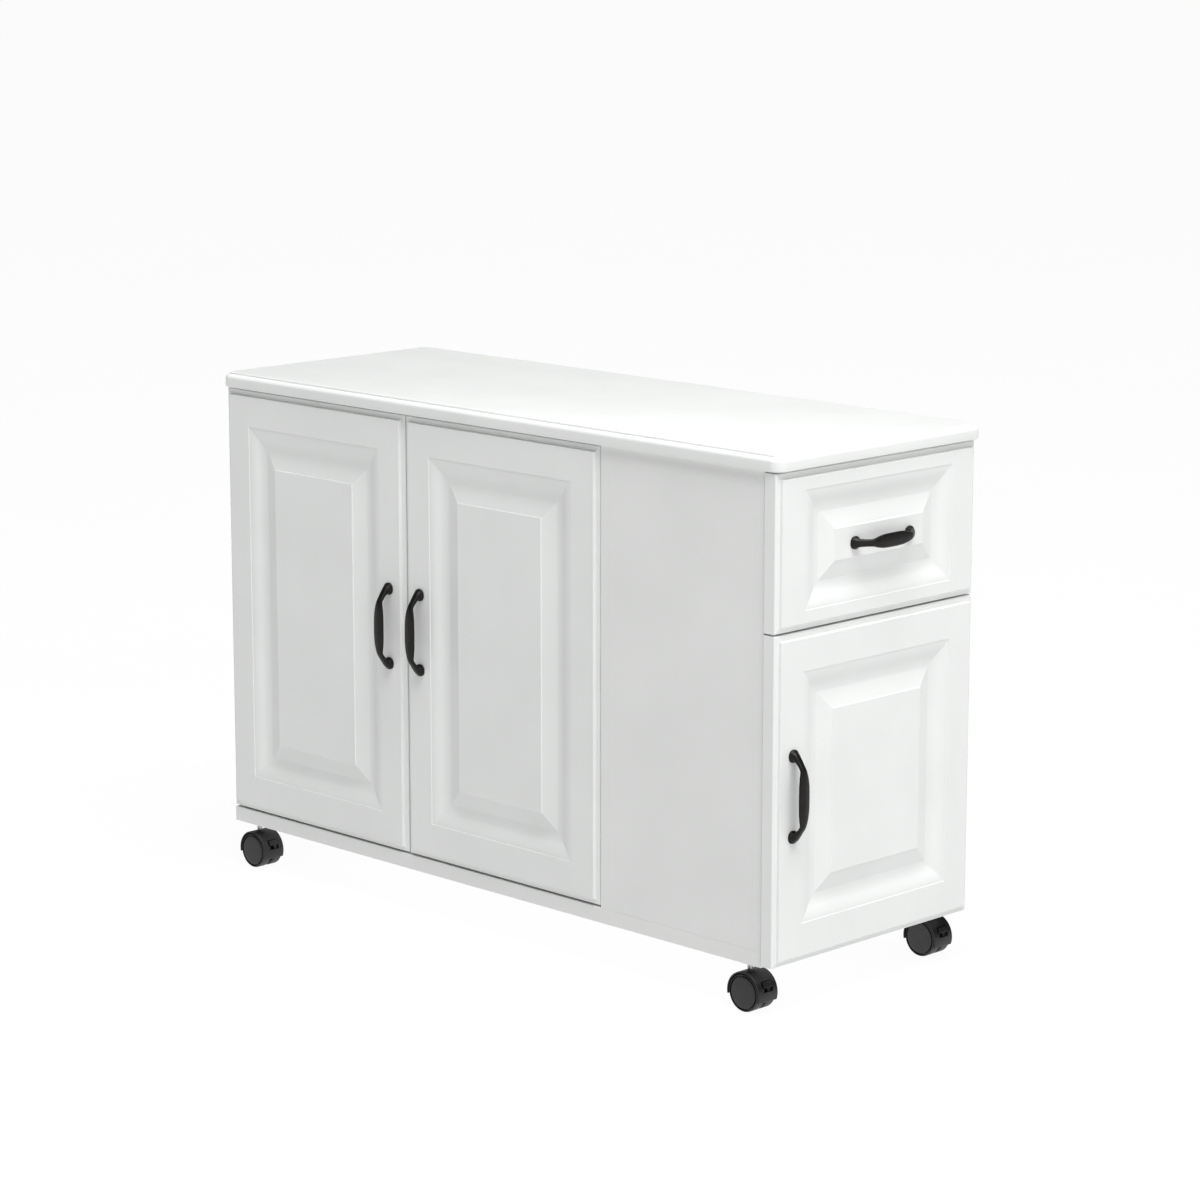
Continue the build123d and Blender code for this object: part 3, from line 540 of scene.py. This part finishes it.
SWIVEL_X = -4.4 * MM
WEB_HALF, BOSS_HALF = 2.1 * MM, 6.7 * MM
HUB_RADIUS = 10.0 * MM
HOOD_INNER, HOOD_OUTER = 27.5 * MM, 29.7 * MM
HOOD_FROM, HOOD_TO = -21.0, 192.0
SLOT_FROM, SLOT_TO, SLOT_HALF = 8.0, 38.0, 9.2 * MM
TAB_FROM, TAB_TO, TAB_HALF, TAB_LIFT = 19.5, 35.5, 7.8 * MM, 1.8 * MM


def rounded_slot(inner, outer, half_width, edge):
    """A rounded rectangle as (radius, y) pairs, running once round."""
    section = []
    for radius, y, start in (
        (outer - edge, half_width - edge, 0),
        (inner + edge, half_width - edge, 90),
        (inner + edge, -half_width + edge, 180),
        (outer - edge, -half_width + edge, 270),
    ):
        section += arc((radius, y), edge, start, start + 90, 4)
    return section


def sector(inner, outer, start, end, half_width, edge, steps=24):
    """Vertices and faces of part of a ring about the y axis, its ends eased as its edges are."""
    rings = []
    middle = (inner + outer) / 2
    ease = math.degrees(edge / middle)
    angles = [(start, edge), (start + 0.3 * ease, 0.3 * edge), (start + ease, 0.0)]
    angles += [(start + (end - start) * i / steps, 0.0) for i in range(1, steps)]
    angles += [(end - ease, 0.0), (end - 0.3 * ease, 0.3 * edge), (end, edge)]
    for angle, shrink in angles:
        turn = math.radians(angle)
        section = rounded_slot(inner + shrink, outer - shrink, half_width - shrink, edge)
        rings.append([(r * math.cos(turn), y, r * math.sin(turn)) for r, y in section])
    return skin(rings)


def plate(outline, half_width):
    """Vertices and faces of a flat outline in x and z, given a thickness along y."""
    return skin([[(x, y, z) for x, z in outline] for y in (-half_width, half_width)])


def collar():
    """The round boss that turns on the stem, about the swivel axis."""
    low, high, radius, ease = HOOD_INNER + 0.3 * MM, 39.0 * MM, 10.0 * MM, 1.0 * MM
    profile = [(4.1 * MM, low), (radius, low), (radius, high - ease)]
    profile += arc((radius - ease, high - ease), ease, 0, 90, 4)
    profile += [(4.1 * MM, high)]
    rings = []
    for r, z in profile:
        ring = [(SWIVEL_X + x, y, z) for x, y in arc((0, 0), r, 0, 350, 35)]
        rings.append(ring)
    return skin(rings + [rings[0]], close_ends=False)


def join(parts):
    """Several (vertices, faces) sets as one."""
    vertices, faces = [], []
    for part_vertices, part_faces in parts:
        start = len(vertices)
        vertices += part_vertices
        faces += [tuple(start + i for i in face) for face in part_faces]
    return vertices, faces


def web():
    """The web between the wheels, with the hub that carries the axle."""
    outer, cut, low = HOOD_INNER + 0.5 * MM, 6.0 * MM, 14.5 * MM
    first = math.degrees(math.acos(cut / outer))
    last = 180.0 + math.degrees(math.asin(low / outer))
    outline = arc((0, 0), outer, first, last, 26) + [(cut, -low)]
    hub = arc((0, 0), HUB_RADIUS, 0, 352, 44)
    return join([plate(outline, WEB_HALF), plate(hub, BOSS_HALF)])


def build_hood(corner, axle):
    """Hood, web and collar of one caster, slotted for its brake."""
    node = f"{corner}_caster_hood"
    place = Matrix.Translation(axle)
    hood = sector(HOOD_INNER, HOOD_OUTER, HOOD_FROM, HOOD_TO, WHEEL_OUT, 0.8 * MM, 48)
    vertices, faces = join([hood, web(), collar()])
    body = f"{corner}_caster"
    piece = add_piece(
        f"{node}_moulding", moved(vertices, place), faces, body, NYLON, [node], 35.0
    )
    low, high = HOOD_INNER - 2 * MM, HOOD_OUTER + 2 * MM
    vertices, faces = sector(low, high, SLOT_FROM, SLOT_TO, SLOT_HALF, 0.8 * MM, 12)
    cut_away(piece, moved(vertices, place), faces)
    shade(piece.data, 35.0)


def build_brake(corner, axle):
    """The raised foot tab with its ribs, on a tongue between the wheels."""
    node = f"{corner}_caster_brake"
    top = HOOD_OUTER + TAB_LIFT
    inner, first, last = HUB_RADIUS + 0.3 * MM, TAB_FROM + 1.5, TAB_TO - 1.5
    tongue = arc((0, 0), HOOD_INNER + 0.5 * MM, first, last, 6) + arc((0, 0), inner, last, first, 4)
    parts = [
        sector(HOOD_INNER, top, TAB_FROM, TAB_TO, TAB_HALF, 0.9 * MM, 8),
        plate(tongue, WEB_HALF - 0.3 * MM),
    ]
    low, high, half_width = top - 0.8 * MM, top + 0.5 * MM, TAB_HALF - 1.6 * MM
    for rib in (22.5, 26.5, 30.5):
        parts.append(sector(low, high, rib, rib + 1.8, half_width, 0.4 * MM, 2))
    vertices, faces = join(parts)
    placed = moved(vertices, Matrix.Translation(axle))
    add_piece(f"{node}_moulding", placed, faces, node, NYLON, [node], 35.0)


def build_casters():
    """Hood, brake and both wheels of every caster."""
    for corner in ("front_left", "front_right", "rear_left", "rear_right"):
        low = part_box(f"{corner}_caster_wheel_front")[0]
        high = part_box(f"{corner}_caster_wheel_back")[1]
        axle = (low + high) / 2
        build_hood(corner, axle)
        build_brake(corner, axle)
        build_wheel(corner, "front", -1, axle)
        build_wheel(corner, "back", 1, axle)


def cup_bores(door, turn):
    """Where a door's two hinge cups go in: point on the door's back, radius and depth."""
    door_low, door_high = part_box(f"{door}_panel")
    low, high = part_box(f"{door}_hinge_cups")
    wing = 31.0 * MM
    bores = []
    for z in (low.z + wing, high.z - wing):
        if turn == 0:
            place = Vector(((low.x + high.x) / 2, door_high.y, z))
        else:
            place = Vector((door_low.x, (low.y + high.y) / 2, z))
        bores.append((place, 17.5 * MM, 12.0 * MM))
    return bores


build_worktop()
for door, turn in (("left_door", 0), ("right_door", 0), ("end_door", 90)):
    build_front(f"{door}_panel", door, turn, DOOR_RAIL, cup_bores(door, turn))
build_front("drawer_front", "drawer", 90, DRAWER_RAIL, [])
build_handle("left_door_handle", "left_door", 0)
build_handle("right_door_handle", "right_door", 0)
build_handle("end_door_handle", "end_door", 90)
build_handle("drawer_handle", "drawer", 90, horizontal=True)
build_casters()


# ---- floor, light and camera ----------------------------------------------------------------
def studio():
    """A pale floor, an even white surround, a broad overhead light and a fill on the drawer end."""
    floor_mesh = bpy.data.meshes.new("floor")
    half = 60.0
    floor_mesh.from_pydata(
        [(-half, -half, 0), (half, -half, 0), (half, half, 0), (-half, half, 0)], [], [(0, 1, 2, 3)]
    )
    floor = bpy.data.objects.new("floor", floor_mesh)
    bpy.context.scene.collection.objects.link(floor)
    material, tree, shader, where = new_material("pale_floor")
    cloud = noise(tree, where, 1.5, 2.0)
    colour = ramp(tree, cloud, [(0.3, (0.032, 0.032, 0.032)), (0.7, (0.038, 0.038, 0.038))])
    tree.links.new(colour, shader.inputs["Base Color"])
    shader.inputs["Emission Color"].default_value = (1.0, 1.0, 1.0, 1.0)
    shader.inputs["Emission Strength"].default_value = 0.955
    shader.inputs["Roughness"].default_value = 0.9
    shader.inputs["Specular IOR Level"].default_value = 0.1
    floor_mesh.materials.append(material)

    world = bpy.data.worlds.new("surround")
    world.use_nodes = True
    tree = world.node_tree
    background = tree.nodes["Background"]
    background.inputs["Color"].default_value = (1.0, 1.0, 1.0, 1.0)
    seen = tree.nodes.new("ShaderNodeLightPath")
    strength = tree.nodes.new("ShaderNodeMapRange")
    strength.inputs["To Min"].default_value = 0.11
    strength.inputs["To Max"].default_value = 1.0
    tree.links.new(seen.outputs["Is Camera Ray"], strength.inputs["Value"])
    tree.links.new(strength.outputs["Result"], background.inputs["Strength"])
    bpy.context.scene.world = world

    for name, towards, size, energy in (
        ("overhead", (0.31, -0.125, 0.94), 6.8, 970.0),
        ("side_fill", (0.95, -0.28, 0.14), 7.0, 140.0),
    ):
        light = bpy.data.lights.new(name, "AREA")
        light.shape = "DISK"
        light.size = size
        light.energy = energy
        lamp = bpy.data.objects.new(name, light)
        direction = Vector(towards).normalized()
        lamp.location = Vector((0.0, 0.0, 0.45)) + 8.0 * direction
        lamp.rotation_euler = direction.to_track_quat("Z", "Y").to_euler()
        bpy.context.scene.collection.objects.link(lamp)


def camera():
    """The viewpoint: 45 degrees round from the long front, a little above the worktop."""
    azimuth, elevation = math.radians(45.07), math.radians(11.42)
    data = bpy.data.cameras.new("camera")
    data.sensor_width = 36.0
    data.lens = 111.8
    data.clip_end = 200.0
    view = bpy.data.objects.new("camera", data)
    back = Vector(
        (
            math.sin(azimuth) * math.cos(elevation),
            -math.cos(azimuth) * math.cos(elevation),
            math.sin(elevation),
        )
    )
    view.location = (3.7745, -3.7339, 1.5413)
    view.rotation_euler = back.to_track_quat("Z", "Y").to_euler()
    bpy.context.scene.collection.objects.link(view)
    bpy.context.scene.camera = view


studio()
camera()
bpy.context.scene.view_settings.view_transform = "Standard"
